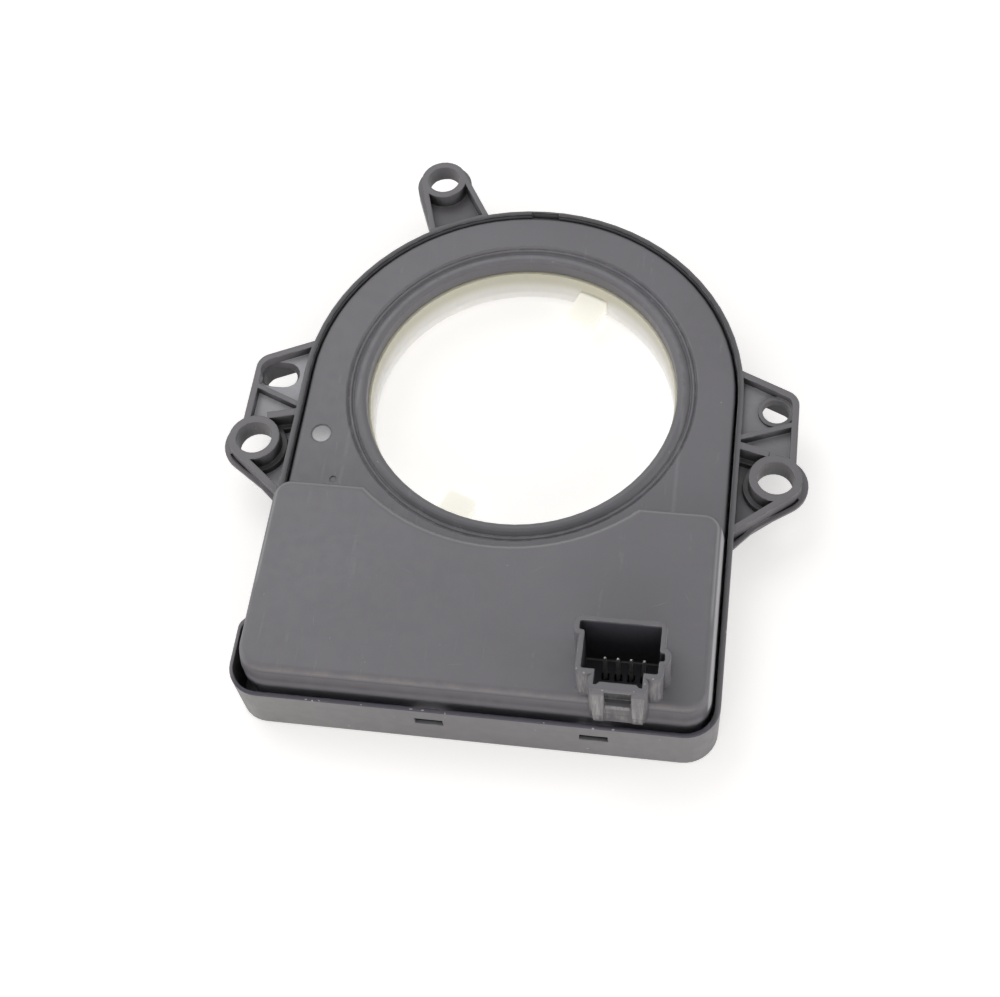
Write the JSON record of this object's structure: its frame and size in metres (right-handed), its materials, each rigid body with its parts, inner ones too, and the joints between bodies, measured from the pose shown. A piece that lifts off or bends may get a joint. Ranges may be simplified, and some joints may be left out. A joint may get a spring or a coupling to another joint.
{
  "type": "steering angle sensor",
  "caption": "Ring-shaped sensor that sits round a steering column, with a turning inner rotor, a raised electronics box, a plug connector and mounting lugs.",
  "frame": {"origin": "under the middle of the bounding box, on the plane of the housing's underside", "axes": "+Z along the steering column and out of the cover, +Y to the round end with the single rear lug, +X to the side with the connector"},
  "size_m": [0.1074, 0.1192, 0.0253],
  "materials": {
    "bus_transceiver": "moulded",
    "capacitor_1": "ceramic",
    "capacitor_2": "ceramic",
    "capacitor_3": "ceramic",
    "circuit_board": "green solder mask",
    "cover": "fine matte moulded",
    "crystal": "metal can",
    "gear_a": "smooth moulded",
    "gear_b": "smooth moulded",
    "gear_retainer": "smooth moulded",
    "housing": "fine matte moulded",
    "magnet_a": "plated",
    "magnet_b": "plated",
    "microcontroller": "moulded",
    "resistor_1": "moulded",
    "resistor_2": "moulded",
    "resistor_3": "moulded",
    "rotor": "translucent, slightly frosted",
    "sensor_chip_a": "moulded",
    "sensor_chip_b": "moulded",
    "terminal_1": "tinned",
    "terminal_2": "tinned",
    "terminal_3": "tinned",
    "terminal_4": "tinned",
    "voltage_regulator": "moulded"
  },
  "bodies": {
    "body": {"bus_transceiver": "bus_transceiver", "capacitor_1": "capacitor_1", "capacitor_2": "capacitor_2", "capacitor_3": "capacitor_3", "circuit_board": "circuit_board", "cover": "cover", "crystal": "crystal", "gear_retainer": "gear_retainer", "housing": "housing", "microcontroller": "microcontroller", "resistor_1": "resistor_1", "resistor_2": "resistor_2", "resistor_3": "resistor_3", "sensor_chip_a": "sensor_chip_a", "sensor_chip_b": "sensor_chip_b", "terminal_1": "terminal_1", "terminal_2": "terminal_2", "terminal_3": "terminal_3", "terminal_4": "terminal_4", "voltage_regulator": "voltage_regulator"},
    "rotor": {"rotor": "rotor"},
    "gear_a": {"gear_a": "gear_a", "magnet_a": "magnet_a"},
    "gear_b": {"gear_b": "gear_b", "magnet_b": "magnet_b"}
  },
  "joints": [
    {"name": "rotor_turn", "type": "hinge", "parent": "body", "child": "rotor", "pos_m": [0, 0.00662, 0.0066], "axis": [0, 0, 1], "continuous": true},
    {"name": "gear_a_turn", "type": "hinge", "parent": "body", "child": "gear_a", "pos_m": [-0.01436, -0.03285, 0.0068], "axis": [0, 0, 1], "continuous": true},
    {"name": "gear_b_turn", "type": "hinge", "parent": "body", "child": "gear_b", "pos_m": [0.01419, -0.03238, 0.0068], "axis": [0, 0, 1], "continuous": true}
  ],
  "couplings": [
    {"joint": "gear_a_turn", "follows": "rotor_turn", "ratio": -3.6667},
    {"joint": "gear_b_turn", "follows": "rotor_turn", "ratio": -3.8824}
  ]
}
